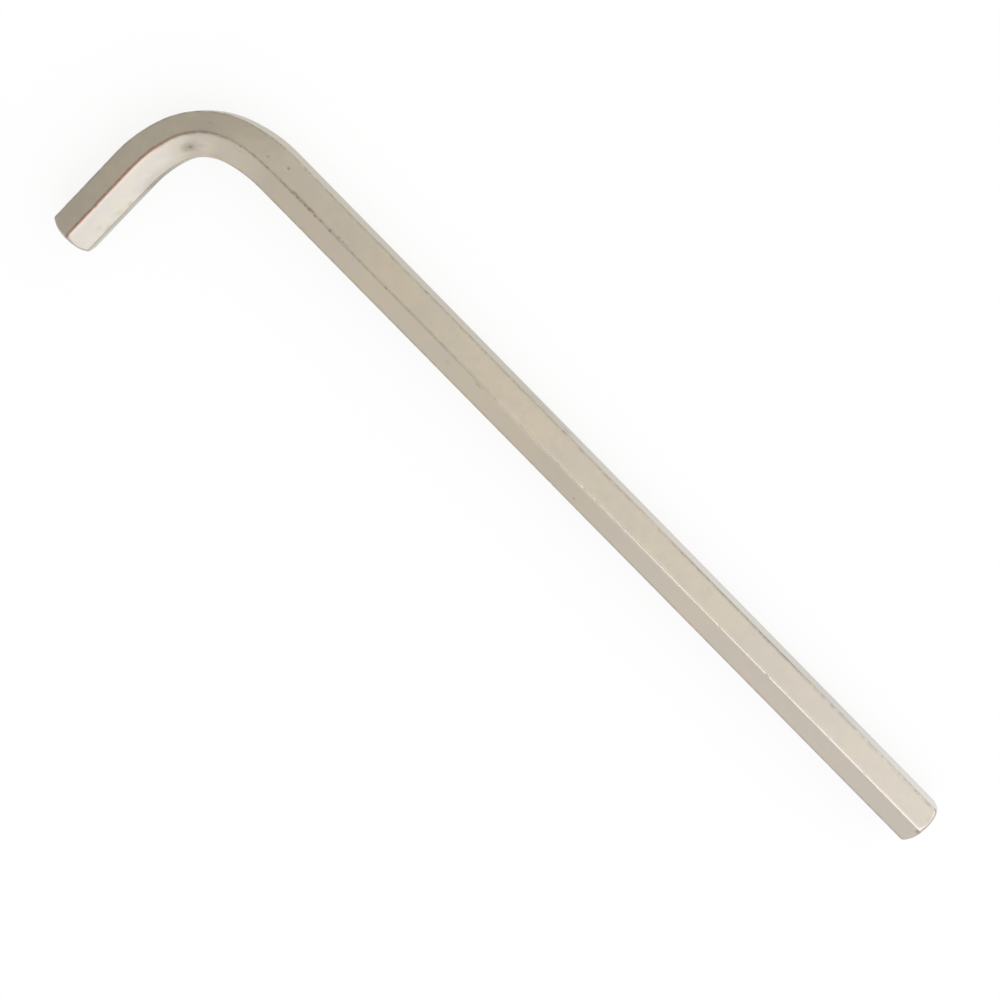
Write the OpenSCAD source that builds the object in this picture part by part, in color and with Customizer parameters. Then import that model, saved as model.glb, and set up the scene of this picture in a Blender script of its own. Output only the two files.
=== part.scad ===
// Hex key: one hexagonal bar, bent once into a long arm and a short arm, with chamfered tips.
// It lies on its lower ridges, with the bend in a level plane and the floor at z = 0.
// The long arm runs along +X and the short arm along -Y. The origin is at the middle of the
// key's length and breadth, on the floor.

/* [Bar] */
// Width across the flats
across_flats = 10; // [6:0.5:14]
// Radius of the bar's six long edges
edge_round = 0.6; // [0.2:0.1:1.2]

/* [Arms] */
// Long arm, from its tip to the outer flat of the short arm
long_arm = 222; // [120:1:320]
// Short arm, from its tip to the outer flat of the long arm
short_arm = 47; // [38:1:90]

/* [Bend] */
// Radius of the bar's centre line in the middle of the bend
bend_radius = 16; // [10:0.5:24]
// Radius of the centre line where the bend runs out into each arm
ease_radius = 30; // [18:1:40]
// Angle that each run-out turns through, in degrees
ease_angle = 20; // [5:1:35]

/* [Tips] */
// How far the chamfer reaches in from the bar's ridges at the end face
chamfer_inset = 1.35; // [0.3:0.05:2]
// Slope of the chamfer from the end face, in degrees
chamfer_slope = 35; // [15:1:60]

/* [Hidden] */

satin_nickel = [0.79, 0.75, 0.69];

flat_reach = across_flats / 2;
sharp_reach = across_flats / sqrt(3);
// The edge circles sit this far from the bar's axis, and the rounded ridges end at ridge_reach.
edge_centre = sharp_reach - edge_round * 2 / sqrt(3);
ridge_reach = edge_centre + edge_round;
edge_steps = 4;

// A straight arm starts this far from the corner where the two centre lines would cross.
bend_reach = ease_radius * (sin(ease_angle) + 1 - cos(ease_angle))
    + bend_radius * (cos(ease_angle) - sin(ease_angle));
long_straight = long_arm - flat_reach - bend_reach;
short_straight = short_arm - flat_reach - bend_reach;

tip_face_r = ridge_reach - chamfer_inset;
// The tip's cone is taken this far past the ridges, so that it leaves the bar cleanly.
cone_margin = 1;
cone_r = ridge_reach + cone_margin;
cone_length = (cone_r - tip_face_r) * tan(chamfer_slope);

smooth = 96;

function turned(angle, radius) = radius * [cos(angle), sin(angle)];

// Points of the rounded hexagon: a short arc at each ridge, with one ridge straight up.
function bar_outline() = [
    for (corner = [0 : 5], step = [0 : edge_steps])
        let (ridge_angle = 30 + 60 * corner)
        let (arc_angle = ridge_angle - 30 + 60 * step / edge_steps)
        turned(ridge_angle, edge_centre) + turned(arc_angle, edge_round)
];

// Centre of the first run-out arc, seen from the corner of the two centre lines.
function long_ease_centre() = [bend_reach, -ease_radius];
// The middle arc's centre lies on the line from the run-out's centre to where they meet.
function middle_centre() = long_ease_centre() + turned(90 + ease_angle, ease_radius - bend_radius);
// The key is the same on both sides of the corner's bisector, so x and y change places.
function short_ease_centre() = [-long_ease_centre()[1], -long_ease_centre()[0]];

// Moves by whole millimetres, then by thousandths, then by what is left, so that no digit is lost
// and the arcs of the bend meet exactly.
module moved(shift) {
    whole = [for (part = shift) round(part)];
    thousandths = [for (part = shift - whole) round(1000 * part) / 1000];
    translate(whole) translate(thousandths) translate(shift - whole - thousandths) children();
}

module bar_section() {
    polygon(bar_outline());
}

// A straight arm, standing on its inner end and chamfered at the tip.
module arm(length) {
    intersection() {
        linear_extrude(height = length) bar_section();
        rotate_extrude($fn = smooth)
            polygon([
                [0, -1],
                [cone_r, -1],
                [cone_r, length - cone_length],
                [tip_face_r, length],
                [0, length]
            ]);
    }
}

// One arc of the bend, from angle start through angle turn, with its flats inside and outside.
module bend_arc(centre, radius, start, turn) {
    moved([centre[0], centre[1], 0])
        rotate_extrude(angle = turn, start = start, $fn = smooth)
            translate([radius, 0]) bar_section();
}

module bend() {
    bend_arc(long_ease_centre(), ease_radius, 90, ease_angle);
    bend_arc(middle_centre(), bend_radius, 90 + ease_angle, 90 - 2 * ease_angle);
    bend_arc(short_ease_centre(), ease_radius, 180 - ease_angle, ease_angle);
}

module long_arm_bar() {
    moved([bend_reach, 0, 0]) rotate([90, 0, 90]) arm(long_straight);
}

module short_arm_bar() {
    moved([0, -bend_reach, 0]) rotate([90, 0, 0]) arm(short_straight);
}

module hex_key() {
    color(satin_nickel)
        translate([flat_reach - long_arm / 2, short_arm / 2 - flat_reach, ridge_reach])
            union() {
                long_arm_bar();
                bend();
                short_arm_bar();
            }
}

hex_key();
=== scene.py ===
"""A long-arm hexagonal key in satin nickel, lying on a white table under soft light.

The key is one bent bar. It is swept here along the same middle line as the solid that it stands
for, finely enough to carry the nicks, pits and stains of a used key, and some painted shade and
painted highlights.
"""

import cmath
import logging
import math
from collections.abc import Mapping, Sequence
from dataclasses import dataclass, field
from enum import Enum
from typing import Any, Union

import bpy
import numpy as np
from mathutils import Matrix, Vector


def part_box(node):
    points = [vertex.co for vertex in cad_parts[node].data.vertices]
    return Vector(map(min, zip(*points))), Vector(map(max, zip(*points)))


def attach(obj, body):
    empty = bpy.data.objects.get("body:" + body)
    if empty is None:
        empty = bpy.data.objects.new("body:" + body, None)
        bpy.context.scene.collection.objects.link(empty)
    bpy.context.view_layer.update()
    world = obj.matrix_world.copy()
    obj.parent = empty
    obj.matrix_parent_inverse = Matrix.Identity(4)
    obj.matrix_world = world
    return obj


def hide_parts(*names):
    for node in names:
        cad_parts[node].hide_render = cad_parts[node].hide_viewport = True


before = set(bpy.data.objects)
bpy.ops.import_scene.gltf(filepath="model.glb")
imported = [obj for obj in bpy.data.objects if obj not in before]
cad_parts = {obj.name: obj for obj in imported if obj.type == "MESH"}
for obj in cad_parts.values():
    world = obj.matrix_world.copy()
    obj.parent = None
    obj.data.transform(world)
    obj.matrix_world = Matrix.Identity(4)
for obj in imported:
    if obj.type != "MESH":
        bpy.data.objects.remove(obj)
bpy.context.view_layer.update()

MM = 0.001
BODY = "root"
NODE = "hex_key"
BAKE_MAP = "OFBake"
# Angle in degrees from one of the bar's flats, or ridges, to the next.
SIDE_TURN = 60

Colour = tuple[float, float, float]
log = logging.getLogger("hex_key")


class Ridge(Enum):
    """The bar's long edges, by their angle round the bar: 0 is outward in the bend, 90 is up."""

    BOTTOM = 270
    OUTER_LOWER = 330
    OUTER_UPPER = 30
    TOP = 90
    INNER_UPPER = 150
    INNER_LOWER = 210


class Flat(Enum):
    """The bar's six sides, by the angle that each faces."""

    OUTER = 0
    OUTER_UPPER = 60
    INNER_UPPER = 120
    INNER = 180
    INNER_LOWER = 240
    OUTER_LOWER = 300


class Stain(Enum):
    """What changes the plate from place to place, each kept in a mesh attribute of this name. Soil
    also carries painted shade, and polish also carries painted highlights and a painted reflection.
    """

    SOIL = "soil"
    RUST = "rust"
    COPPER = "copper"
    POLISH = "polish"
    CREST = "crest"
    CUT = "cut"


def smooth_step(low: float, high: float, value: np.ndarray) -> np.ndarray:
    """Runs smoothly from 0 at low to 1 at high.

    Args:
        low: Value at which the result starts to rise.
        high: Value at which the result reaches 1.
        value: Values to look up.

    Returns:
        The eased share for each value.
    """
    share = np.clip((value - low) / (high - low), 0.0, 1.0)
    return share * share * (3.0 - 2.0 * share)


def uneven_run(draw: np.random.Generator, place: np.ndarray, patch: float) -> np.ndarray:
    """Draws a run of random values that change smoothly along the bar.

    Args:
        draw: The random draws.
        place: Distances along the bar.
        patch: Distance over which the run changes.

    Returns:
        A value from 0 to 1 for each distance.
    """
    stops = np.arange(-patch, float(place.max()) + 2 * patch, patch)
    return np.interp(place, stops, draw.random(stops.size))


def add_object(name: str, data: bpy.types.ID) -> bpy.types.Object:
    """Puts an object into the scene.

    Args:
        name: The object's name.
        data: Its mesh, light or camera.

    Returns:
        The object.
    """
    made = bpy.data.objects.new(name, data)
    bpy.context.scene.collection.objects.link(made)
    return made


@dataclass(frozen=True)
class Outline:
    """Points round the bar's section, in millimetres.

    Attributes:
        outward: Reach of each point towards the outside of the bend.
        upward: Reach of each point above the bar's middle.
        around: Distance along the surface from the first point.
        girth: Distance once round the bar.
    """

    outward: np.ndarray
    upward: np.ndarray
    around: np.ndarray
    girth: float


@dataclass(frozen=True)
class BarSection:
    """The rounded hexagon that the bar is drawn to, with one ridge straight up.

    Steps are numbers of strips, more of them where a ridge or flat is seen from above. A strip
    of the flat_margin's width lies between a flat and the rounding of each ridge beside it.
    """

    across_flats: float
    edge_round: float
    upper_ridge_steps: int = 8
    lower_ridge_steps: int = 4
    upper_flat_steps: int = 18
    plain_flat_steps: int = 3
    flat_margin: float = 0.06

    @property
    def flat_reach(self) -> float:
        """Distance from the bar's middle to a flat."""
        return self.across_flats / 2

    @property
    def edge_centre(self) -> float:
        """Distance from the bar's middle to the middle of a ridge's rounding."""
        return (self.across_flats - 2 * self.edge_round) / math.sqrt(3)

    @property
    def ridge_reach(self) -> float:
        """Distance from the bar's middle to a ridge's crest."""
        return self.edge_centre + self.edge_round

    def _ridge_steps(self, ridge: Ridge) -> int:
        """Number of strips over one ridge."""
        upper = ridge in (Ridge.OUTER_UPPER, Ridge.TOP, Ridge.INNER_UPPER)
        return self.upper_ridge_steps if upper else self.lower_ridge_steps

    def _flat_shares(self, after: Ridge) -> np.ndarray:
        """Places the points across the flat that follows a ridge.

        Args:
            after: The ridge.

        Returns:
            Their shares of the way across, without 0 and 1.
        """
        upper = after in (Ridge.OUTER_UPPER, Ridge.TOP)
        steps = self.upper_flat_steps if upper else self.plain_flat_steps
        margin = self.flat_margin / self.edge_centre
        return np.linspace(margin, 1.0 - margin, steps + 1)

    def outline(self) -> Outline:
        """Works out the points round the section, from the bottom ridge by the outer side.

        Returns:
            The points, with their distance round the bar.
        """
        points: list[np.ndarray] = []
        for ridge in Ridge:
            crest = cmath.rect(1.0, math.radians(ridge.value))
            steps = self._ridge_steps(ridge)
            arc = np.radians(SIDE_TURN * (np.arange(steps + 1) / steps - 0.5))
            rounding = crest * (self.edge_centre + self.edge_round * np.exp(1j * arc))
            along_flat = crest * cmath.rect(self.edge_centre, math.radians(SIDE_TURN * 2))
            points += [rounding, rounding[-1] + self._flat_shares(ridge) * along_flat]
        placed = np.concatenate(points)
        steps_round = np.abs(np.roll(placed, -1) - placed)
        around = np.concatenate([[0.0], np.cumsum(steps_round)[:-1]])
        return Outline(placed.real, placed.imag, around, float(steps_round.sum()))


@dataclass(frozen=True)
class MiddleLine:
    """The bar's middle line from the short tip to the long tip, in millimetres.

    The bend is three arcs that run into each other: a wide one, a tight one and a wide one.
    """

    corner: tuple[float, float, float]
    long_reach: float
    short_reach: float
    bend_radius: float = 16.0
    ease_radius: float = 30.0
    ease_angle: float = 20.0

    @property
    def bend_reach(self) -> float:
        """Distance from the corner of the two arms' lines to where an arm becomes straight."""
        ease = cmath.rect(self.ease_radius - self.bend_radius, math.radians(self.ease_angle))
        return self.ease_radius + ease.imag - ease.real

    @property
    def short_straight(self) -> float:
        """Length of the short arm's straight part, and the distance at which the bend starts."""
        return self.short_reach - self.bend_reach

    @property
    def bend_length(self) -> float:
        """Length of the bend's three arcs."""
        return sum(length for length, _ in self._stretches()[1:-1])

    @property
    def bend_end(self) -> float:
        """Distance at which the long arm becomes straight."""
        return self.short_straight + self.bend_length

    @property
    def length(self) -> float:
        """Length from tip to tip."""
        return self.bend_end + self.long_reach - self.bend_reach

    def _stretches(self) -> list[tuple[float, float]]:
        """Divides the line into straight and round stretches.

        Returns:
            Length of each stretch with the angle that it turns through, in radians.
        """
        ease = math.radians(self.ease_angle)
        tight = math.radians(90) - 2 * ease
        return [
            (self.short_straight, 0.0),
            (ease * self.ease_radius, ease),
            (tight * self.bend_radius, tight),
            (ease * self.ease_radius, ease),
            (self.long_reach - self.bend_reach, 0.0),
        ]

    def at(self, distance: np.ndarray) -> tuple[np.ndarray, np.ndarray]:
        """Finds the middle line's points. In between, x and y are one complex number.

        Args:
            distance: Distances from the short tip.

        Returns:
            The points, and the directions that face the outside of the bend.
        """
        start = complex(self.corner[0], self.corner[1] - self.short_reach)
        point = np.full(distance.shape, start)
        heading = np.full(distance.shape, math.radians(90))
        begin = 0.0
        for length, turn in self._stretches():
            run = np.clip(distance - begin, 0.0, length)
            bent = run * turn / length
            point += run * np.sinc(bent / math.tau) * np.exp(1j * (heading - bent / 2))
            heading -= bent
            begin += length
        outside = 1j * np.exp(1j * heading)
        level = np.full(distance.shape, self.corner[2])
        points = np.stack([point.real, point.imag, level], axis=-1)
        return points, np.stack([outside.real, outside.imag, np.zeros_like(level)], axis=-1)


@dataclass(frozen=True)
class TipCut:
    """The chamfer turned on a tip, with worn corners. Lengths in millimetres.

    Attributes:
        inset: How far the chamfer reaches in from the ridges.
        slope: Its angle from the end face, in degrees.
        shoulder_round: Radius of the corner between chamfer and flats.
        ridge_round: Radius of the corner between chamfer and ridges.
        face_round: Radius of the corner between chamfer and end face.
        approach: Length of bar behind the end face that is laid out with the tip.
        approach_steps: Number of rings before the chamfer.
        round_steps: Number of steps over a corner.
        face_steps: Number of rings on the end face.
        core_radius: Radius of the small cap in the end face's middle.
        cut_edge: Distances below the cut at which its look starts to fade, and is gone.
        rim_width: Width of the dirt and painted shade on the end face's rim.
        rim_soil: Its least strength, and what its unevenness adds.
        rim_patch: Distance round the rim over which it changes.
        face_depth: Depths at which the dirt inside the rim is gone, and is whole.
        face_width: How far it reaches in from the rim.
        face_soil: Its greatest strength.
        face_patch: Distance round the rim over which it changes.
    """

    inset: float = 1.35
    slope: float = 35.0
    shoulder_round: float = 0.30
    ridge_round: float = 1.00
    face_round: float = 0.30
    approach: float = 2.6
    approach_steps: int = 8
    round_steps: int = 4
    face_steps: int = 6
    core_radius: float = 0.25
    cut_edge: tuple[float, float] = (0.02, 0.10)
    rim_width: float = 0.2
    rim_soil: tuple[float, float] = (0.46, 0.28)
    rim_patch: float = 1.4
    face_depth: tuple[float, float] = (0.35, 0.05)
    face_width: float = 2.2
    face_soil: float = 0.30
    face_patch: float = 2.6

    def profile(self, reach: float, section: BarSection) -> np.ndarray:
        """Follows the surface over the tip at one place round the bar.

        Args:
            reach: Distance from the bar's middle to its surface there.
            section: The bar's section.

        Returns:
            Depth behind the end face, and radius as the imaginary part, from the bar to the
            tip's middle.
        """
        rim = 1j * (section.ridge_reach - self.inset)
        slant = math.tan(math.radians(self.slope))
        shoulder = complex((reach - rim.imag) * slant, reach)
        down_cone = (rim - shoulder) / abs(rim - shoulder)
        to_ridge = (reach - section.flat_reach) / (section.ridge_reach - section.flat_reach)
        worn_round = self.shoulder_round + (self.ridge_round - self.shoulder_round) * to_ridge
        first = self._rounded(shoulder, -1, down_cone, worn_round)
        second = self._rounded(rim, down_cone, -1j, self.face_round)
        depths = np.linspace(self.approach, first[0].real, self.approach_steps, endpoint=False)
        face = 1j * np.linspace(second[-1].imag, self.core_radius, self.face_steps + 1)[1:]
        middle = [(first[-1] + second[0]) / 2]
        return np.concatenate([depths + 1j * reach, first, middle, second, face])

    def _rounded(
        self, corner: complex, before: complex, after: complex, radius: float
    ) -> np.ndarray:
        """Breaks a corner with a small arc.

        Args:
            corner: The corner.
            before: Direction of the way to it.
            after: Direction of the way on.
            radius: Radius of the arc.

        Returns:
            Points of the arc.
        """
        turn = cmath.phase(after / before)
        start = corner - before * radius * math.tan(abs(turn) / 2)
        side = 1j * before * math.copysign(radius, turn)
        return start + side * (1 - np.exp(1j * np.linspace(0.0, turn, self.round_steps + 1)))


@dataclass
class BarSurface:
    """The bar's surface as a grid: rings along the bar, points round it. In millimetres.

    Attributes:
        section: The bar's section.
        place: Distance of each point from the short tip.
        outward: Reach of each point towards the outside of the bend.
        upward: Reach of each point above the bar's middle.
        outline: The section's points.
        ridge_share: Least reach of what counts as a ridge, as a share of the flats' reach.
        flat_depth: How far below a flat a point may lie and still count as on it.
        stains: How much of each stain lies at each point.
    """

    section: BarSection
    place: np.ndarray
    outward: np.ndarray
    upward: np.ndarray
    outline: Outline
    ridge_share: float = 0.88
    flat_depth: float = 0.25
    stains: dict[Stain, np.ndarray] = field(default_factory=dict)

    def __post_init__(self) -> None:
        """Starts with a clean bar."""
        for stain in Stain:
            self.stains[stain] = np.zeros(self.place.shape)

    def add_stain(self, stain: Stain, amount: np.ndarray) -> None:
        """Lays a stain, where it is stronger than what is there."""
        self.stains[stain] = np.maximum(self.stains[stain], amount)

    def seen_from(self, angle: float) -> tuple[np.ndarray, np.ndarray]:
        """Looks at the bar from one direction round it.

        Args:
            angle: The direction in degrees, 0 outward and 90 up.

        Returns:
            How far each point reaches in that direction, and how far it lies to its left.
        """
        turn = math.radians(angle)
        reach = self.outward * math.cos(turn) + self.upward * math.sin(turn)
        return reach, self.upward * math.cos(turn) - self.outward * math.sin(turn)

    def sink(self, angle: float, depth: np.ndarray) -> None:
        """Presses each point in by a depth, against a direction round the bar in degrees."""
        self.outward -= depth * math.cos(math.radians(angle))
        self.upward -= depth * math.sin(math.radians(angle))

    def side_offset(self, ridge: Ridge) -> np.ndarray:
        """Finds how far each point lies beside a ridge.

        Args:
            ridge: The ridge.

        Returns:
            The distance from the ridge's crest, positive on the way from the outer side over
            the top to the inner side, and endless in the end faces and on the far side.
        """
        reach, beside = self.seen_from(ridge.value)
        return np.where(reach > self.section.flat_reach * self.ridge_share, beside, np.inf)

    def spread(self, flat: Flat, spot: "FlatSpot") -> np.ndarray:
        """Finds how far each point lies from the middle of a spot on a flat.

        Args:
            flat: The flat.
            spot: The spot's place, size and turn.

        Returns:
            The square of the distance, 1 at the spot's edge and endless off the flat.
        """
        reach, beside = self.seen_from(flat.value)
        along = self.place - spot.place
        beside = beside - spot.offset
        turn = math.radians(spot.turn)
        long_share = (along * math.cos(turn) + beside * math.sin(turn)) / (spot.length / 2)
        wide_share = (beside * math.cos(turn) - along * math.sin(turn)) / (spot.width / 2)
        on_flat = reach > self.section.flat_reach - self.flat_depth
        return np.where(on_flat, long_share**2 + wide_share**2, np.inf)


@dataclass(frozen=True)
class FlatSpot:
    """Place and size of a mark on a flat, in millimetres.

    Attributes:
        place: Distance of its middle from the short tip.
        offset: Distance of its middle from the flat's own middle, positive in the direction
            from the outer side over the top to the inner side.
        length: Its size along the bar.
        width: Its size across the flat.
        turn: Angle of its long side to the bar, in degrees.
    """

    place: float
    offset: float
    length: float
    width: float
    turn: float = 0.0


@dataclass(frozen=True)
class RidgeNick:
    """A small flat knocked on a ridge, with dirt in it. Lengths in millimetres."""

    ridge: Ridge
    place: float
    length: float
    depth: float
    tilt: float = 0.0
    soil: float = 0.7

    def press(self, surface: BarSurface) -> None:
        """Presses the nick into the surface.

        Args:
            surface: The bar's surface, which is changed.
        """
        section = surface.section
        angle = self.ridge.value + self.tilt
        crest = section.edge_centre * math.cos(math.radians(self.tilt)) + section.edge_round
        reach, _ = surface.seen_from(angle)
        share = (surface.place - self.place) / (self.length / 2)
        level = crest - self.depth * (1 - share**2)
        pressed = np.where(np.abs(share) < 1, np.maximum(reach - level, 0.0), 0.0)
        surface.sink(angle, pressed)
        half_depth = self.depth / 2
        surface.add_stain(Stain.SOIL, self.soil * np.minimum(pressed / half_depth, 1.0))


@dataclass(frozen=True)
class FlatPit:
    """A small pit in a flat, with dirt in it. The depth is in millimetres."""

    flat: Flat
    spot: FlatSpot
    depth: float
    soil: float = 0.7

    def press(self, surface: BarSurface) -> None:
        """Presses the pit into the surface.

        Args:
            surface: The bar's surface, which is changed.
        """
        bowl = np.maximum(1 - surface.spread(self.flat, self.spot), 0.0) ** 2
        surface.sink(self.flat.value, self.depth * bowl)
        surface.add_stain(Stain.SOIL, self.soil * np.sqrt(bowl))


@dataclass(frozen=True)
class Smudge:
    """A soft patch on a flat, with its strength in the middle: dirt, rust, wear, painted shade or a
    painted reflection.
    """

    stain: Stain
    flat: Flat
    spot: FlatSpot
    amount: float

    def lay(self, surface: BarSurface) -> None:
        """Lays the patch on the surface.

        Args:
            surface: The bar's surface, which is changed.
        """
        fall = np.exp(-2 * surface.spread(self.flat, self.spot))
        surface.add_stain(self.stain, self.amount * fall)


@dataclass(frozen=True)
class RidgeLine:
    """A line of dirt, rust, bright wear, painted shade or painted highlight along a ridge. Lengths
    in millimetres.

    Attributes:
        stain: What the line is.
        ridge: The ridge that it follows.
        start: Where it is at full strength first, from the short tip.
        end: Where it is at full strength last.
        fade: Distance over which it comes in and goes out.
        offset: How far it lies beside the crest, positive in the direction from the outer
            side over the top to the inner side.
        width: Its width.
        amount: Its strength.
        ragged: Share of the strength that comes and goes along it.
        wander: How far it strays to each side.
        patch: Distance over which it changes.
    """

    stain: Stain
    ridge: Ridge
    start: float
    end: float
    fade: float
    offset: float
    width: float
    amount: float
    ragged: float = 0.3
    wander: float = 0.0
    patch: float = 1.0

    def lay(self, surface: BarSurface, draw: np.random.Generator) -> None:
        """Lays the line on the surface.

        Args:
            surface: The bar's surface, which is changed.
            draw: The random draws for its unevenness.
        """
        strength = 1 - self.ragged * uneven_run(draw, surface.place, self.patch)
        long_patch = 1.7 * self.patch
        strays = self.wander * (2 * uneven_run(draw, surface.place, long_patch) - 1)
        beside = (surface.side_offset(self.ridge) - self.offset - strays) / (self.width / 2)
        across = np.exp(-np.square(beside))
        comes_in = smooth_step(self.start - self.fade, self.start, surface.place)
        goes_out = 1 - smooth_step(self.end, self.end + self.fade, surface.place)
        surface.add_stain(self.stain, self.amount * strength * across * comes_in * goes_out)


Term = Union["Signal", float, Sequence[float]]


class Signal:
    """A socket in a shader's node tree. Arithmetic on it adds Math nodes."""

    def __init__(self, graph: "Graph", socket: bpy.types.NodeSocket) -> None:
        """Keeps the socket and the tree that it is in."""
        self.graph = graph
        self.socket = socket

    def _math(self, operation: str, *terms: Term) -> "Signal":
        """Adds a Math node on the terms."""
        return self.graph.node("ShaderNodeMath", {"operation": operation}, dict(enumerate(terms)))

    def __add__(self, other: Term) -> "Signal":
        """Adds a number or another signal."""
        return self._math("ADD", self, other)

    __radd__ = __add__

    def __sub__(self, other: Term) -> "Signal":
        """Takes away a number or another signal."""
        return self._math("SUBTRACT", self, other)

    def __rsub__(self, other: Term) -> "Signal":
        """Takes this signal away from a number."""
        return self._math("SUBTRACT", other, self)

    def __mul__(self, other: Term) -> "Signal":
        """Multiplies by a number or another signal."""
        return self._math("MULTIPLY", self, other)

    __rmul__ = __mul__

    def at_most(self, limit: Term) -> "Signal":
        """Keeps the signal from going over a limit."""
        return self._math("MINIMUM", self, limit)

    def or_more(self, other: Term) -> "Signal":
        """Takes whichever is larger."""
        return self._math("MAXIMUM", self, other)


class Graph:
    """The node tree of one material or of the world."""

    def __init__(self, owner: Union[bpy.types.Material, bpy.types.World]) -> None:
        """Starts with an empty tree.

        Args:
            owner: The material or world that has the tree.
        """
        owner.use_nodes = True
        self.tree = owner.node_tree
        self.tree.nodes.clear()

    @staticmethod
    def _find(sockets: Any, key: Union[int, str]) -> bpy.types.NodeSocket:
        """Finds one of a node's sockets.

        Args:
            sockets: Its inputs or its outputs.
            key: The socket's name, or its number among those in use.

        Returns:
            The socket.
        """
        in_use = [socket for socket in sockets if socket.enabled]
        if isinstance(key, int):
            return in_use[key]
        return next(socket for socket in in_use if socket.name == key)

    def node(
        self,
        kind: str,
        settings: Mapping[str, Any] | None = None,
        inputs: Mapping[Union[int, str], Any] | None = None,
        output: Union[int, str] = 0,
    ) -> Signal:
        """Adds one node.

        Args:
            kind: The node's type.
            settings: Its settings, which are set first.
            inputs: Values or signals for its sockets, by name or by number.
            output: The output that is wanted, by name or by number.

        Returns:
            The wanted output.
        """
        made = self.tree.nodes.new(kind)
        for name, value in (settings or {}).items():
            setattr(made, name, value)
        for key, value in (inputs or {}).items():
            socket = self._find(made.inputs, key)
            if isinstance(value, Signal):
                self.tree.links.new(value.socket, socket)
            else:
                socket.default_value = value
        if not made.outputs:
            return Signal(self, self._find(made.inputs, 0))
        return Signal(self, self._find(made.outputs, output))

    def attribute(self, name: str, output: str = "Fac") -> Signal:
        """Reads one of the mesh's attributes."""
        settings = {"attribute_type": "GEOMETRY", "attribute_name": name}
        return self.node("ShaderNodeAttribute", settings, {}, output)

    def stretched(self, place: Signal, scale: Sequence[float]) -> Signal:
        """Scales a place by a different number on each axis."""
        return self.node("ShaderNodeVectorMath", {"operation": "MULTIPLY"}, {0: place, 1: scale})

    def noise(self, cloud: "Cloud", place: Signal) -> Signal:
        """Cloudy noise from about 0 to 1 at a place."""
        look = {"Scale": cloud.scale, "Detail": cloud.detail, "Roughness": cloud.roughness}
        return self.node("ShaderNodeTexNoise", {"noise_dimensions": "3D"}, {"Vector": place} | look)

    def eased(self, value: Signal, limits: tuple[float, float]) -> Signal:
        """Runs smoothly from 0 at the lower limit to 1 at the upper one."""
        inputs = {"Value": value, "From Min": limits[0], "From Max": limits[1]}
        return self.node("ShaderNodeMapRange", {"interpolation_type": "SMOOTHSTEP"}, inputs)

    def mixed(self, share: Signal, first: Term, second: Term) -> Signal:
        """Mixes two colours.

        Args:
            share: How much of the second colour there is, from 0 to 1.
            first: The first colour.
            second: The second colour.

        Returns:
            The mixed colour.
        """
        ends = [(*one, 1.0) if isinstance(one, tuple) else one for one in (first, second)]
        inputs = {"Factor": share, "A": ends[0], "B": ends[1]}
        return self.node("ShaderNodeMix", {"data_type": "RGBA"}, inputs)


@dataclass(frozen=True)
class Cloud:
    """A noise: its repeats per millimetre, its detail and the share of its finer parts."""

    scale: float
    detail: float
    roughness: float


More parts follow.
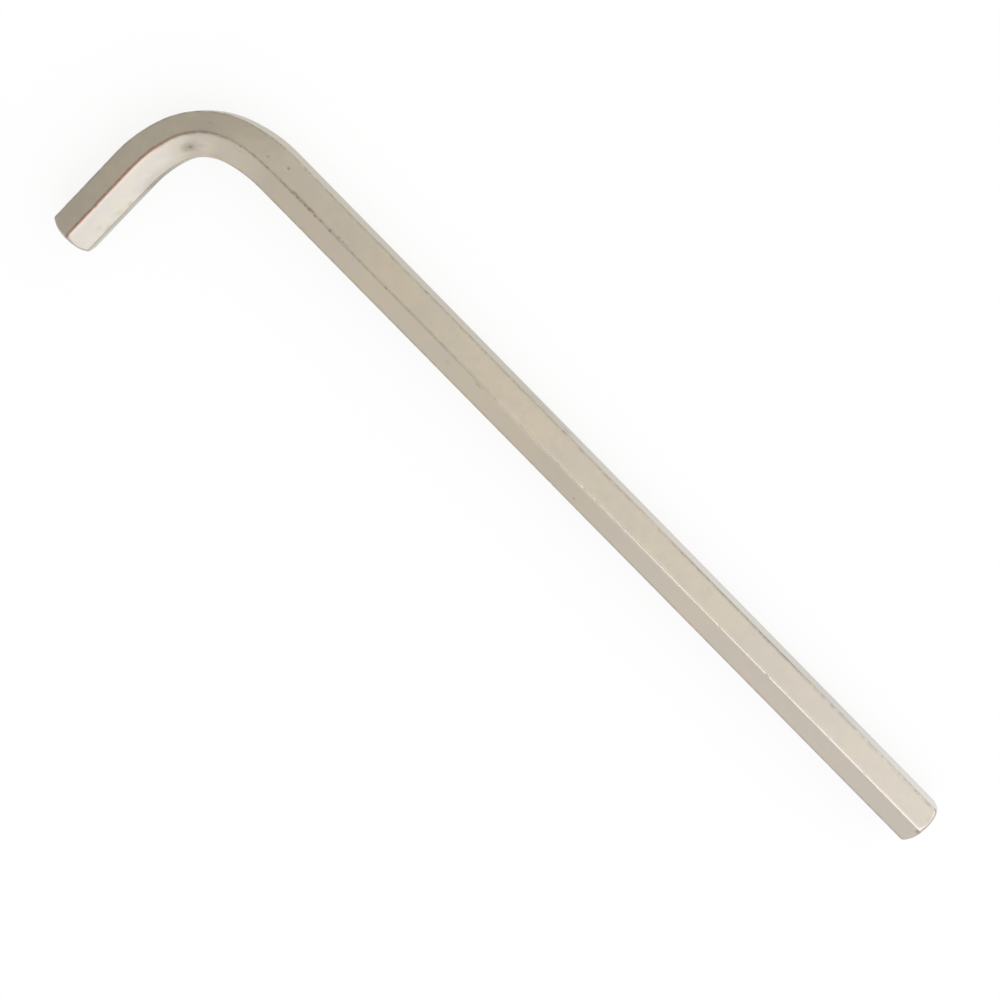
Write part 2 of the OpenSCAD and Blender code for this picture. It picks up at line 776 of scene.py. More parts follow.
@dataclass(frozen=True)
class SatinNickel:
    """Satin nickel plate on a drawn bar, with the stains and wear of use, and some painted shade
    and painted highlights.

    Colours are linear. Heights and places are in millimetres. The plate is warmest between the
    bend and the middle of the long arm.

    Attributes:
        clouds: Patches of a centimetre, in the plate's colour.
        mottle: Patches of a millimetre or two, in its colour, roughness and relief.
        crumbs: Specks that break up the stains.
        grain: Lines drawn along the bar.
        turning: Rings turned on the tips.
        grain_stretch: Repeats of the grain along the bar and round it.
        stain_cover: Least strength of a stain, and what its crumbs add to that.
        warm_from: Places between which the plate becomes warm, after the short arm.
        warm_to: Places between which it becomes cool again.
        warmth: How warm the plate is at least, and what the warm stretch adds.
        patchiness: How much its patches count, and what the short arm adds.
        dulling: The same for its dull patches.
    """

    warm_plate: Colour = (0.539, 0.491, 0.389)
    cool_plate: Colour = (0.511, 0.481, 0.432)
    dull_plate: Colour = (0.480, 0.443, 0.371)
    soil: Colour = (0.150, 0.118, 0.082)
    rust: Colour = (0.265, 0.074, 0.030)
    copper: Colour = (0.660, 0.410, 0.320)
    # Lighter, more neutral colour of polish; on the top ridge's crest it is also a painted
    # highlight, and on the outer flat a painted reflection.
    polished: Colour = (0.700, 0.670, 0.610)
    # Creamier colour along the top ridge's crest: wear, and a painted highlight.
    crest_wear_and_highlight: Colour = (0.710, 0.640, 0.538)
    cut_plate: Colour = (0.560, 0.518, 0.450)
    cut_shade: Colour = (0.430, 0.390, 0.330)
    roughness: float = 0.34
    worn_roughness: float = 0.17
    stained_roughness: float = 0.62
    mottle_roughness: float = 0.12
    grain_roughness: float = 0.10
    stained_metal: float = 0.25
    clouds: Cloud = Cloud(0.10, 3.0, 0.55)
    mottle: Cloud = Cloud(0.50, 4.0, 0.6)
    crumbs: Cloud = Cloud(2.6, 3.0, 0.7)
    grain: Cloud = Cloud(1.0, 4.0, 0.6)
    turning: Cloud = Cloud(2.8, 4.0, 0.65)
    grain_stretch: tuple[float, float, float] = (0.22, 5.0, 0.0)
    grain_height: float = 0.0035
    mottle_height: float = 0.020
    turning_height: float = 0.014
    relief_strength: float = 0.5
    crumb_limits: tuple[float, float] = (0.32, 0.62)
    patch_limits: tuple[float, float] = (0.38, 0.62)
    grain_limits: tuple[float, float] = (0.52, 0.75)
    cut_limits: tuple[float, float] = (0.36, 0.64)
    stain_cover: tuple[float, float] = (0.75, 0.35)
    grain_share: float = 0.35
    ring_share: float = 0.6
    warm_from: tuple[float, float] = (28.0, 48.0)
    warm_to: tuple[float, float] = (110.0, 235.0)
    warmth: tuple[float, float] = (0.2, 0.6)
    patchiness: tuple[float, float] = (0.6, 0.5)
    dulling: tuple[float, float] = (0.25, 0.5)

    def material(self) -> bpy.types.Material:
        """Builds the finish.

        Returns:
            The material.
        """
        made = bpy.data.materials.new("satin_nickel_plate")
        graph = Graph(made)
        bar = graph.attribute("bar", "Vector")
        spot = graph.attribute("spot", "Vector")
        mottle = graph.noise(self.mottle, spot)
        grain = graph.noise(self.grain, graph.stretched(bar, self.grain_stretch))
        rings = self._turned_rings(graph, spot)
        crumbs = graph.eased(graph.noise(self.crumbs, spot), self.crumb_limits)
        cover = self.stain_cover[0] + crumbs * self.stain_cover[1]
        cut = graph.attribute(Stain.CUT.value)
        crest, copper, polish, soil, rust = (
            graph.attribute(stain.value) * cover
            for stain in (Stain.CREST, Stain.COPPER, Stain.POLISH, Stain.SOIL, Stain.RUST)
        )
        bright, soiled_and_shaded, rusted = (one.at_most(1.0) for one in (polish, soil, rust))

        lined = graph.eased(grain, self.grain_limits) * self.grain_share
        turned = rings * self.ring_share + mottle * (1 - self.ring_share)
        cut_tone = graph.eased(turned, self.cut_limits)
        colour = self._plate_colour(graph, spot, mottle)
        # The soil share also paints shade, and the polish and crest shares also paint highlights,
        # besides real dirt and wear.
        for share, stained in (
            (lined, self.dull_plate),
            (cut, graph.mixed(cut_tone, self.cut_shade, self.cut_plate)),
            (bright, self.polished),
            (crest, self.crest_wear_and_highlight),
            (copper, self.copper),
            (soiled_and_shaded, self.soil),
            (rusted, self.rust),
        ):
            colour = graph.mixed(share, colour, stained)

        covered = soiled_and_shaded.or_more(rusted)
        rough = self.roughness + (mottle - 0.5) * self.mottle_roughness
        rough = rough + (grain - 0.5) * self.grain_roughness
        rough = rough + bright * (self.worn_roughness - self.roughness)
        rough = rough + covered * (self.stained_roughness - self.roughness)
        drawn = grain * self.grain_height + mottle * self.mottle_height
        normal = graph.node("ShaderNodeBump", {}, {
            "Strength": self.relief_strength,
            "Distance": MM,
            "Height": drawn + cut * rings * self.turning_height,
        })
        shader = graph.node("ShaderNodeBsdfPrincipled", {}, {
            "Base Color": colour,
            "Metallic": 1 - covered * (1 - self.stained_metal),
            "Roughness": rough,
            "Normal": normal,
        })
        graph.node("ShaderNodeOutputMaterial", {}, {"Surface": shader})
        return made

    def _plate_colour(self, graph: Graph, spot: Signal, mottle: Signal) -> Signal:
        """Mixes the clean plate's colour, a little warmer and cooler from place to place.

        Args:
            graph: The material's tree.
            spot: Place in the bar: along it, outward and up.
            mottle: Noise of a millimetre or two.

        Returns:
            The colour.
        """
        along = graph.node("ShaderNodeSeparateXYZ", {}, {"Vector": spot}, "X")
        short_arm = 1 - graph.eased(along, self.warm_from)
        cool = graph.eased(along, self.warm_to).or_more(short_arm)
        clouds = graph.noise(self.clouds, spot)
        patchy = graph.eased(clouds * 0.5 + mottle * 0.5, self.patch_limits)
        unevenness = short_arm * self.patchiness[1] + self.patchiness[0]
        warmth = (1 - cool) * self.warmth[1] + (patchy - 0.5) * unevenness + self.warmth[0]
        tone = graph.mixed(warmth, self.cool_plate, self.warm_plate)
        dulled = (1 - patchy) * (short_arm * self.dulling[1] + self.dulling[0])
        return graph.mixed(dulled, tone, self.dull_plate)

    def _turned_rings(self, graph: Graph, spot: Signal) -> Signal:
        """Makes rings round the bar's middle, as turning leaves them on the tips.

        Args:
            graph: The material's tree.
            spot: Place in the bar: along it, outward and up.

        Returns:
            Noise from about 0 to 1 that changes only with the distance from the middle.
        """
        beside = graph.stretched(spot, (0.0, 1.0, 1.0))
        radius = graph.node(
            "ShaderNodeVectorMath", {"operation": "LENGTH"}, {0: beside}, "Value"
        )
        return graph.node("ShaderNodeTexNoise", {"noise_dimensions": "1D"}, {
            "W": radius * self.turning.scale, "Scale": 1.0, "Detail": self.turning.detail,
            "Roughness": self.turning.roughness,
        })


@dataclass
class HexKey:
    """The whole key: one hexagonal bar, bent once and chamfered at both tips.

    Its overall sizes come from the frame. Lengths are in millimetres.

    Attributes:
        edge_round: Radius of the bar's six long edges.
        tip: The cut on both tips.
        thinning: Share of its width that the bar loses in the middle of the bend.
        roll: Angle that the bar's section turns through there, its top outward, in degrees.
        crown_shift: How far the top and bottom ridges move outward there besides.
        worn_stretch: Length of the long arm next to the bend that is worn most.
        worn_spacing: Distance between rings in the bend and the worn stretch.
        plain_spacing: Distance between rings elsewhere.
        seed: Start of the random nicks.
        small_nicks: Number of random nicks on the ridges.
        specks: Number of random specks on the flats.
        plain_end: Length at each tip that gets none of them.
        map_gap: Room between the pieces of the flat map.
        cap_scale: How much larger than life the small end caps are on it.
        finish: What the bar is plated with.
    """

    edge_round: float = 0.6
    tip: TipCut = TipCut()
    thinning: float = 0.05
    roll: float = 4.0
    crown_shift: float = 0.5
    worn_stretch: float = 95.0
    worn_spacing: float = 0.22
    plain_spacing: float = 0.4
    seed: int = 11
    small_nicks: int = 150
    specks: int = 60
    plain_end: float = 3.0
    map_gap: float = 0.8
    cap_scale: float = 4.0
    finish: SatinNickel = SatinNickel()
    section: BarSection = field(init=False)
    line: MiddleLine = field(init=False)

    def __post_init__(self) -> None:
        """Takes the bar's sizes and place from the frame."""
        low, high = (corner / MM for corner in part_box(NODE))
        ridge_reach = (high.z - low.z) / 2
        edge_lost = self.edge_round * (2 / math.sqrt(3) - 1)
        across_flats = (ridge_reach + edge_lost) * math.sqrt(3)
        self.section = BarSection(across_flats, self.edge_round)
        flat_reach = self.section.flat_reach
        corner = (low.x + flat_reach, high.y - flat_reach, low.z + ridge_reach)
        long_reach = high.x - corner[0]
        short_reach = corner[1] - low.y
        self.line = MiddleLine(corner, long_reach, short_reach)

    def _ring_places(self) -> np.ndarray:
        """Places the plain rings between the two tips' own rings.

        Returns:
            Their distances from the short tip.
        """
        stops = [
            (self.tip.approach, self.plain_spacing),
            (self.line.short_straight, self.worn_spacing),
            (self.line.bend_end + self.worn_stretch, self.plain_spacing),
            (self.line.length - self.tip.approach, 0.0),
        ]
        places = []
        for (start, spacing), (end, _) in zip(stops, stops[1:]):
            count = max(1, round((end - start) / spacing))
            places.append(np.linspace(start, end, count, endpoint=False))
        return np.concatenate(places)[1:]

    def _surface(self) -> BarSurface:
        """Lays out the clean bar as a grid, from the short tip's middle to the long tip's.

        Returns:
            The bar's surface.
        """
        outline = self.section.outline()
        reach = np.hypot(outline.outward, outline.upward)
        profiles = np.stack([self.tip.profile(float(one), self.section) for one in reach], axis=1)
        depth, radius = profiles.real, profiles.imag
        middle = np.repeat(self._ring_places()[:, None], reach.size, axis=1)
        place = np.concatenate([depth[::-1], middle, self.line.length - depth])
        scale = np.concatenate([radius[::-1] / reach, np.ones(middle.shape), radius / reach])
        return BarSurface(
            self.section, place, outline.outward * scale, outline.upward * scale, outline
        )

    def _own_dents(self) -> list[Union[RidgeNick, FlatPit]]:
        """Lists the dents that stand out on this key.

        Returns:
            The nicks and pits.
        """
        # Place, length, depth and tilt of each nick.
        nicks = {
            Ridge.TOP: (
                (41.2, 0.8, 0.05, -6), (46.4, 0.7, 0.04, 6), (49.7, 0.8, 0.04, -4),
                (53.2, 0.7, 0.04, 4), (58.6, 0.8, 0.05, 0), (62, 1, 0.06, -6),
                (64.2, 1.1, 0.07, -9), (65.3, 0.9, 0.07, -5), (67.2, 0.8, 0.06, 7),
                (68.6, 0.6, 0.06, -8), (71.5, 0.9, 0.05, 6), (78, 0.6, 0.04, -8),
                (88, 0.7, 0.04, 8),
            ),
            Ridge.OUTER_UPPER: (
                (50.5, 0.6, 0.04, 6), (52.4, 0.9, 0.05, 8), (53.3, 0.7, 0.05, 4),
                (57, 0.6, 0.04, 4), (60.2, 0.7, 0.05, 0), (66.5, 1.1, 0.04, 6),
                (94.5, 1.2, 0.04, 5), (135.5, 1.6, 0.05, -4), (243.3, 0.6, 0.04, 6),
            ),
        }
        return [RidgeNick(ridge, *nick) for ridge, rows in nicks.items() for nick in rows] + [
            FlatPit(Flat.OUTER_UPPER, FlatSpot(52, 1.1, 1, 0.6, -20), 0.04),
            FlatPit(Flat.OUTER_UPPER, FlatSpot(56.5, -0.2, 1, 0.8), 0.05, 0.8),
            FlatPit(Flat.INNER_UPPER, FlatSpot(35, 0.3, 1.9, 0.9), 0.04, 0.9),
        ]

    def _own_smudges(self) -> list[Smudge]:
        """Lists the patches of dirt, rust and wear that stand out on this key, with patches of
        painted shade and painted reflection.

        Returns:
            The patches.
        """
        # Strength of each patch, then its place, offset, length, width and turn.
        patches = {
            (Stain.SOIL, Flat.INNER_UPPER): (
                (0.50, 34.6, 0.3, 6, 3), (0.25, 37.4, 0.2, 4, 1.2),
                (0.35, 115.8, -2.2, 2.8, 0.7), (0.26, 15, 2.3, 1.8, 1),
                (0.14, 12, 1.9, 3, 1.4, 12), (0.18, 7.8, 2.4, 3.6, 0.9),
                (0.16, 41.5, 2.2, 6, 1), (0.16, 46.8, -1.7, 3, 0.6, -8),
                # The last patch, 60 mm long at 140 mm, is painted shade that dims the whole flat.
                (0.11, 31.5, 0, 6, 7), (0.07, 140, 0, 60, 20),
            ),
            (Stain.SOIL, Flat.OUTER_UPPER): (
                (0.22, 39.5, 0.2, 1.6, 1), (0.20, 45.4, -1.9, 2.4, 0.8),
                # The broad patch at 76 mm, 60 mm long, is painted shade that dims the whole flat.
                (0.11, 76, 0, 60, 20), (0.15, 59, 0, 22, 14),
                # The patch at 250.45 mm is painted shade over the long tip's chamfer shoulder,
                # which dulls the highlight there.
                (0.22, 249.4, -0.1, 0.9, 0.6), (0.42, 250.45, 0, 1, 7),
            ),
            (Stain.SOIL, Flat.OUTER): (
                (0.20, 128, 0.8, 22, 6), (0.40, 135.5, 0.6, 6, 1.8, 25),
            ),
            (Stain.SOIL, Flat.INNER): (
                (0.68, 24, 0, 20, 10), (0.75, 21, 0, 7, 10),
                (0.24, 11.5, 0, 14, 9),
            ),
            (Stain.RUST, Flat.OUTER_UPPER): ((0.18, 63.5, 2.5, 6, 1),),
            (Stain.RUST, Flat.INNER_UPPER): ((0.55, 147, 1, 0.8, 0.6),),
            (Stain.POLISH, Flat.OUTER_UPPER): (
                (0.10, 25, 0, 10, 10), (0.14, 44, 0, 9, 10),
            ),
            (Stain.POLISH, Flat.INNER_UPPER): ((0.30, 38.6, 0, 6, 7),),
            # These long patches over the outer flat are polish, which lowers roughness, and a
            # painted reflection of the white table, lighter and more neutral.
            (Stain.POLISH, Flat.OUTER): (
                (0.65, 182, 0, 110, 14), (0.95, 250, 0, 100, 14),
            ),
        }
        return [
            Smudge(stain, flat, FlatSpot(*spot), strength)
            for (stain, flat), rows in patches.items()
            for strength, *spot in rows
        ]

    def _anywhere(self, draw: np.random.Generator, sides: type[Enum]) -> tuple[Any, float]:
        """Draws a ridge or a flat, and a place along it."""
        side = list(sides)[draw.integers(len(sides))]
        return side, draw.uniform(self.plain_end, self.line.length - self.plain_end)

    def _random_nicks(self, draw: np.random.Generator) -> list[RidgeNick]:
        """Draws small nicks along all six ridges.

        Args:
            draw: The random draws.

        Returns:
            The nicks.
        """
        return [
            RidgeNick(
                *self._anywhere(draw, Ridge),
                length=draw.uniform(0.5, 1.6),
                depth=0.012 + 0.05 * draw.random() ** 3,
                tilt=draw.uniform(-18.0, 18.0),
                soil=draw.uniform(0.1, 0.5),
            )
            for _ in range(self.small_nicks)
        ]

    def _random_specks(self, draw: np.random.Generator) -> list[Smudge]:
        """Draws faint specks of dirt all over the flats.

        Args:
            draw: The random draws.

        Returns:
            The specks.
        """
        specks = []
        for _ in range(self.specks):
            flat, place = self._anywhere(draw, Flat)
            offset = draw.uniform(-2.2, 2.2)
            length = draw.uniform(0.5, 1.6)
            width = length * draw.uniform(0.4, 0.9)
            spot = FlatSpot(place, offset, length, width, draw.uniform(-30.0, 30.0))
            specks.append(Smudge(Stain.SOIL, flat, spot, draw.uniform(0.05, 0.16)))
        return specks

    def _lines(self) -> list[RidgeLine]:
        """Lists the lines of dirt, rust and bright wear along the ridges, with lines of painted
        shade and painted highlight.

        Returns:
            The lines, in the order in which they are drawn.
        """
        tip_start = 1.0
        tip_end = self.line.length - tip_start
        soil, rust, copper = Stain.SOIL, Stain.RUST, Stain.COPPER
        polish, crest = Stain.POLISH, Stain.CREST
        top, outer, inner = Ridge.TOP, Ridge.OUTER_UPPER, Ridge.INNER_UPPER
        # Stain, ridge, start, end, fade, offset, width, strength, raggedness, wander, patch.
        rows = (
            (rust, top, 4, 27, 4, -0.29, 0.42, 0.88, 0.45, 0.08, 0.5),
            (rust, top, 29, 38, 4, -0.10, 0.52, 0.50, 0.5, 0.06, 0.6),
            (soil, top, tip_start, 35, 4, -0.28, 0.34, 0.30, 0.8, 0.08, 0.5),
            (soil, top, 30, 42, 4, 0.06, 0.66, 0.70, 0.45, 0.08, 0.6),
            (soil, top, 0.5, 1.3, 0.4, -0.10, 0.60, 0.80, 0),
            (copper, top, 2, 28, 3, 0.18, 0.48, 0.72, 0.45, 0.06, 0.6),
            # The polish line below is a painted highlight: a pale line on the rounding beside the
            # rust, with the lower roughness of polish.
            (polish, top, 2, 26, 4, 0.38, 0.34, 0.30, 0.5, 0.04, 0.7),
            (soil, top, 40, 60, 4, -0.06, 0.42, 0.74, 0.7, 0.12, 0.5),
            (soil, top, 58, 75, 3, -0.24, 0.40, 0.80, 0.9, 0.15, 0.45),
            (rust, top, 63.2, 66.4, 1, -0.26, 0.42, 0.36, 0.6, 0.10, 0.5),
            (soil, top, 75, 104, 8, -0.10, 0.36, 0.42, 0.9, 0.10, 0.6),
            (soil, top, 140, tip_end, 12, 0.42, 0.26, 0.20, 0.8, 0.05, 0.7),
            (soil, top, 249.4, 250.2, 0.4, 0.52, 0.80, 0.65, 0),
            # From 128 mm on, the crest is worn smoother, and lighter and creamier as a painted
            # highlight.
            (polish, top, 128, 174, 12, -0.03, 0.62, 0.95, 0.3, 0.03, 1.2),
            (crest, top, 128, 174, 16, -0.03, 0.66, 0.92, 0.2, 0.03, 1.6),
            (soil, outer, 44, tip_end, 6, 0.08, 0.60, 0.58, 0.6, 0.06, 0.6),
            (soil, outer, 249.2, 250.2, 0.5, 0, 0.50, 0.70, 0),
            (soil, outer, tip_start, 42, 3, -0.02, 0.74, 0.75, 0.8, 0.08, 0.6),
            (soil, inner, tip_start, 30, 2, 0.05, 0.50, 0.30, 0.7, 0.06, 0.8),
            (soil, inner, tip_start, 20, 2, 0.80, 1.10, 0.20, 0.9, 0.10, 1.2),
            # Painted shade: a broad soft darkening on the inner upper flat beside this ridge, from
            # 22 to 33 mm.
            (soil, inner, 22, 33, 6, -0.55, 1.80, 0.17, 0.3, 0, 2),
            (soil, inner, 50, tip_end, 10, -0.20, 0.42, 0.42, 0.7, 0.06, 0.7),
            # These two full-length lines are painted shade along the lower ridges, which darkens
            # the bar's lower outline.
            (soil, Ridge.OUTER_LOWER, tip_start, tip_end, 4, 0, 0.5, 0.3, 0.7),
            (soil, Ridge.INNER_LOWER, tip_start, tip_end, 4, 0, 0.5, 0.3, 0.7),
            (polish, Ridge.BOTTOM, 60, tip_end - 5, 20, 0, 0.5, 0.6, 0.6),
            (soil, outer, 66, 160, 8, 0.06, 0.46, 0.64, 0.4, 0.06, 0.7),
            (soil, outer, 174, 202, 18, 0.08, 0.48, 0.88, 0.3, 0.05, 0.8),
            # The crest on to the tip: worn smoother, and a painted highlight.
            (crest, top, 174, tip_end, 16, -0.03, 0.60, 0.56, 0.2, 0.03, 1.6),
            (polish, top, 174, tip_end, 12, -0.03, 0.56, 0.70, 0.3, 0.03, 1.2),
        )
        return [RidgeLine(*row) for row in rows]

    def _lay_tips(self, surface: BarSurface) -> None:
        """Lays the tips' cut faces, and the dirt and painted shade round the rims of the end faces.

        Args:
            surface: The bar's surface, which is changed.
        """
        tip = self.tip
        around = surface.outline.around
        depth = np.minimum(surface.place, self.line.length - surface.place)
        radius = np.hypot(surface.outward, surface.upward)
        face_radius = self.section.ridge_reach - tip.inset
        cone_depth = (radius - face_radius) * math.tan(math.radians(tip.slope))
        below_cut = depth - np.maximum(cone_depth, 0.0)
        surface.add_stain(Stain.CUT, 1 - smooth_step(*tip.cut_edge, below_cut))
        draw = np.random.default_rng(self.seed + 1)
        # The rim's darkening is dirt, and painted shade along the tip's outline.
        rim = (np.abs(radius - face_radius) + depth) / tip.rim_width
        rim_darkening = tip.rim_soil[0] + tip.rim_soil[1] * uneven_run(draw, around, tip.rim_patch)
        surface.add_stain(Stain.SOIL, rim_darkening * np.exp(-np.square(rim)))
        on_face = smooth_step(*tip.face_depth, depth) * (radius < face_radius)
        grime = tip.face_soil * smooth_step(face_radius - tip.face_width, face_radius, radius)
        patches = uneven_run(draw, around, tip.face_patch)
        surface.add_stain(Stain.SOIL, grime * on_face * patches)

    def _points(self, surface: BarSurface) -> np.ndarray:
        """Puts the surface's grid in space, bent as the bar is.

        Args:
            surface: The bar's surface.

        Returns:
            The points, as rings by points round the bar by three.
        """
        point, outside = self.line.at(surface.place)
        along_bend = (surface.place - self.line.short_straight) / self.line.bend_length
        drawn = np.sin(np.pi * np.clip(along_bend, 0.0, 1.0)) ** 2
        turn = np.radians(self.roll) * drawn
        rolled = surface.outward * np.cos(turn) + surface.upward * np.sin(turn)
        upward = surface.upward * np.cos(turn) - surface.outward * np.sin(turn)
        crown = np.maximum(1 - np.abs(surface.outward) / self.section.flat_reach, 0.0)
        outward = rolled * (1 - self.thinning * drawn) + self.crown_shift * drawn * crown
        point = point + outward[..., None] * outside
        point[..., 2] += upward
        return point

    def _corners(self, surface: BarSurface) -> tuple[np.ndarray, np.ndarray]:
        """Joins the grid into faces.

        Args:
            surface: The bar's surface.

        Returns:
            The faces as rows of four point numbers, and the distance round the bar of each of
            their corners, which is the whole girth where the last strip closes the ring.
        """
        rings, count = surface.place.shape
        ring = np.arange(rings - 1)[:, None] * count
        here = np.arange(count)
        after = (here + 1) % count
        faces = np.stack([
            ring + here, ring + after, ring + count + after, ring + count + here
        ], axis=-1)
        around = surface.outline.around[faces % count]
        around[:, -1, 1:3] = surface.outline.girth
        return faces.reshape(-1, 4), around.reshape(-1, 4)

    def build(self) -> bpy.types.Object:
        """Builds the bar, marks it, dresses it and puts it on the frame.

        Returns:
            The finished piece.
        """
        surface = self._surface()
        draw = np.random.default_rng(self.seed)
        self._lay_tips(surface)
        for dent in self._own_dents() + self._random_nicks(draw):
            dent.press(surface)
        for smudge in self._own_smudges() + self._random_specks(draw):
            smudge.lay(surface)
        for line in self._lines():
            line.lay(surface, draw)
        points = self._points(surface)
        faces, around = self._corners(surface)
        rings, count = surface.place.shape
        mesh = bpy.data.meshes.new("bent_hex_bar")
        caps = [list(range(count - 1, -1, -1)), list(range((rings - 1) * count, rings * count))]
        mesh.from_pydata(points.reshape(-1, 3) * MM, [], faces.tolist() + caps)
        mesh.shade_smooth()
        self._write_attributes(mesh, surface, faces, around)
        self._write_map(mesh, surface, points, faces, around)
        mesh.materials.append(self.finish.material())
        piece = add_object("bent_hex_bar", mesh)
        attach(piece, BODY)
        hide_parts(NODE)
        return piece

    def _write_attributes(
        self, mesh: bpy.types.Mesh, surface: BarSurface, faces: np.ndarray, around: np.ndarray
    ) -> None:
        """Gives the mesh what its finish reads.

        Args:
            mesh: The bar's mesh.
            surface: The bar's surface.
            faces: The four-sided faces.
            around: The distance round the bar of each of their corners.
        """
        for stain, amount in surface.stains.items():
            layer = mesh.attributes.new(stain.value, "FLOAT", "POINT")
            layer.data.foreach_set("value", amount.astype(np.float32).ravel())
        spot = mesh.attributes.new("spot", "FLOAT_VECTOR", "POINT")
        points = np.stack([surface.place, surface.outward, surface.upward], axis=-1)
        spot.data.foreach_set("vector", points.astype(np.float32).ravel())
        corners = [surface.place.ravel()[faces], around, np.zeros(faces.shape)]
        unrolled = np.zeros((len(mesh.loops), 3), np.float32)
        unrolled[:faces.size] = np.stack(corners, axis=-1).reshape(-1, 3)
        bar = mesh.attributes.new("bar", "FLOAT_VECTOR", "CORNER")
        bar.data.foreach_set("vector", unrolled.ravel())

    def _write_map(
        self, mesh: bpy.types.Mesh, surface: BarSurface, points: np.ndarray,
        faces: np.ndarray, around: np.ndarray
    ) -> None:
        """Lays the bar out flat, as a map on which its finish can be painted as a picture.

        The bar is cut along its bottom ridge and once across, and the two stretches lie one
        above the other. The small caps in the end faces lie above them.

        Args:
            mesh: The bar's mesh.
            surface: The bar's surface.
            points: Its grid in space, in millimetres.
            faces: The four-sided faces.
            around: The distance round the bar of each of their corners.
        """
        rings, count = surface.place.shape
        steps = np.linalg.norm(np.diff(points, axis=0), axis=2).mean(axis=1)
        along = np.concatenate([[0.0], np.cumsum(steps)])
        middle = int(np.searchsorted(along, along[-1] / 2))
        above = faces[:, :1] // count >= middle
        across = along[faces // count] - above * along[middle]
        upward = around + above * (surface.outline.girth + self.map_gap)
        flat = np.stack([across, upward], axis=-1).reshape(-1, 2)
        caps = []
        for number, ring in enumerate((0, rings - 1)):
            cap = np.stack([surface.outward[ring], surface.upward[ring]], axis=-1)
            corner = np.array([(4 * number + 2) * self.tip.core_radius, 0.0])
            lift = np.array([0.0, flat[:, 1].max() / self.cap_scale + 2 * self.tip.core_radius])
            caps.append((cap + corner + lift) * self.cap_scale)
        flat = np.concatenate([flat, caps[0][::-1], caps[1]])
        flat[:, 1] = flat[:, 1].max() - flat[:, 1]
        flat = (flat + self.map_gap) / (flat.max() + 2 * self.map_gap)
        layer = mesh.uv_layers.new(name=BAKE_MAP, do_init=False)
        layer.uv.foreach_set("vector", flat.astype(np.float32).ravel())


class LampShape(Enum):
    """The outline of a soft lamp."""

    ROUND = "ELLIPSE"
    SQUARE = "RECTANGLE"


@dataclass(frozen=True)
class SoftLamp:
    """A broad lamp that faces the key from some metres away.

    Angles are in degrees, azimuth from +X. Seen from the key, the lamp fills twice the angles
    half_width and half_height. Its face looks white at a glow of 1.
    """

    name: str
    shape: LampShape
    azimuth: float
    elevation: float
    half_width: float
    half_height: float
    glow: float
    tint: Colour = (1.0, 1.0, 1.0)
    distance: float = 3.0

    def build(self) -> None:
        """Adds the lamp."""
        width = 2 * self.distance * math.tan(math.radians(self.half_width))
        height = 2 * self.distance * math.tan(math.radians(self.half_height))
        area = width * height * (math.pi / 4 if self.shape is LampShape.ROUND else 1.0)
        light = bpy.data.lights.new(self.name, "AREA")
        light.shape = self.shape.value
        light.size = width
        light.size_y = height
        light.energy = self.glow * math.pi * area
        light.color = self.tint
        lamp = add_object(self.name, light)
        turn = math.radians(self.azimuth)
        rise = math.radians(self.elevation)
        towards = Vector((
            math.cos(turn) * math.cos(rise), math.sin(turn) * math.cos(rise), math.sin(rise)
        ))
        lamp.location = towards * self.distance
        lamp.rotation_euler = towards.to_track_quat("Z", "Y").to_euler()
        lamp.visible_camera = False


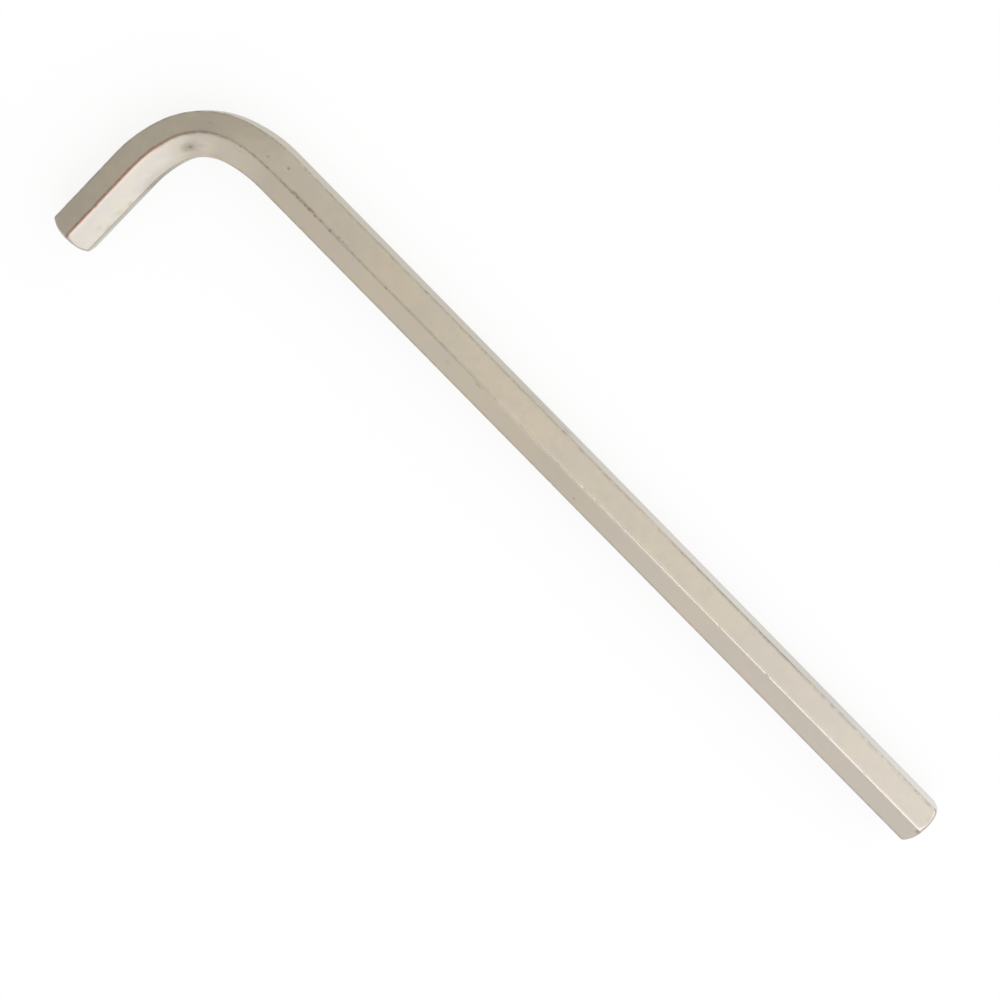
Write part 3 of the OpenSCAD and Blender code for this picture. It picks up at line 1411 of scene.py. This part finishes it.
@dataclass
class Studio:
    """A white table in a pale room with soft lamps. Lengths in metres."""

    table_width: float = 8.0
    table_white: Colour = (0.96, 0.96, 0.96)
    table_glow: float = 0.85
    room: Colour = (0.698, 0.664, 0.616)
    lamps: tuple[SoftLamp, ...] = (
        SoftLamp("window_lamp", LampShape.SQUARE, 60, 20, 40, 20, 1.26,
                 (1.014, 0.987, 1.029)),
        SoftLamp("wide_lamp", LampShape.ROUND, 0, 47, 37, 37, 0.99,
                 (0.935, 1.004, 1.170)),
        SoftLamp("side_lamp", LampShape.SQUARE, 294, 18, 29, 18, 0.46,
                 (1.010, 0.985, 1.100)),
    )

    def _table(self) -> None:
        """Lays the table, which looks white and keeps the key's shadow."""
        half = self.table_width / 2
        mesh = bpy.data.meshes.new("table")
        corners = [(-half, -half, 0.0), (half, -half, 0.0), (half, half, 0.0), (-half, half, 0.0)]
        mesh.from_pydata(corners, [], [(0, 1, 2, 3)])
        table = add_object("table", mesh)
        made = bpy.data.materials.new("white_table")
        graph = Graph(made)
        seen, shiny, through = (
            graph.node("ShaderNodeLightPath", {}, {}, ray)
            for ray in ("Is Camera Ray", "Is Glossy Ray", "Is Transmission Ray")
        )
        bare = seen.or_more(shiny).or_more(through)
        cloth = graph.node("ShaderNodeBsdfDiffuse", {}, {"Color": (*self.table_white, 1.0)})
        white = graph.node("ShaderNodeEmission", {}, {"Color": (1.0, 1.0, 1.0, 1.0)})
        surface = graph.node("ShaderNodeMixShader", {}, {
            0: bare * self.table_glow, 1: cloth, 2: white,
        })
        graph.node("ShaderNodeOutputMaterial", {}, {"Surface": surface})
        mesh.materials.append(made)

    def _room(self) -> None:
        """Lights the room evenly."""
        world = bpy.data.worlds.new("room")
        bpy.context.scene.world = world
        graph = Graph(world)
        glow = graph.node("ShaderNodeBackground", {}, {"Color": (*self.room, 1.0), "Strength": 1.0})
        graph.node("ShaderNodeOutputWorld", {}, {"Surface": glow})

    def build(self) -> None:
        """Adds the table, the room and the lamps."""
        self._table()
        self._room()
        for lamp in self.lamps:
            lamp.build()
            log.info("lamp %s", lamp.name)


@dataclass(frozen=True)
class PhotoCamera:
    """The camera, at the photograph's place.

    Attributes:
        eye: Where the camera is, in metres.
        aim: The point on the table at the picture's middle, in metres.
        picture_up: Direction along the table that runs up the picture, in degrees from +X.
        lens: Focal length in millimetres.
        film_width: Film width in millimetres.
    """

    eye: tuple[float, float, float] = (-0.05081, 0.13041, 0.49374)
    aim: tuple[float, float, float] = (-0.00217, 0.00096, 0.0)
    picture_up: float = 135.19
    lens: float = 85.72
    film_width: float = 36.0

    def build(self) -> None:
        """Adds the camera and makes it the scene's own."""
        data = bpy.data.cameras.new("photo_camera")
        data.lens = self.lens
        data.sensor_width = self.film_width
        data.clip_start = 0.01
        camera = add_object("photo_camera", data)
        back = (Vector(self.eye) - Vector(self.aim)).normalized()
        turn = math.radians(self.picture_up)
        right = Vector((math.cos(turn), math.sin(turn), 0.0)).cross(back).normalized()
        up = back.cross(right)
        axes = Matrix((right, up, back)).transposed().to_4x4()
        camera.matrix_world = Matrix.Translation(self.eye) @ axes
        bpy.context.scene.camera = camera


def main() -> None:
    """Builds the key, the studio and the camera."""
    logging.basicConfig(level=logging.INFO, format="%(name)s: %(message)s")
    bpy.context.scene.view_settings.view_transform = "Standard"
    key = HexKey()
    piece = key.build()
    log.info("%s: %d points, %d faces", piece.name, len(piece.data.vertices),
             len(piece.data.polygons))
    Studio().build()
    PhotoCamera().build()


if __name__ == "__main__":
    main()
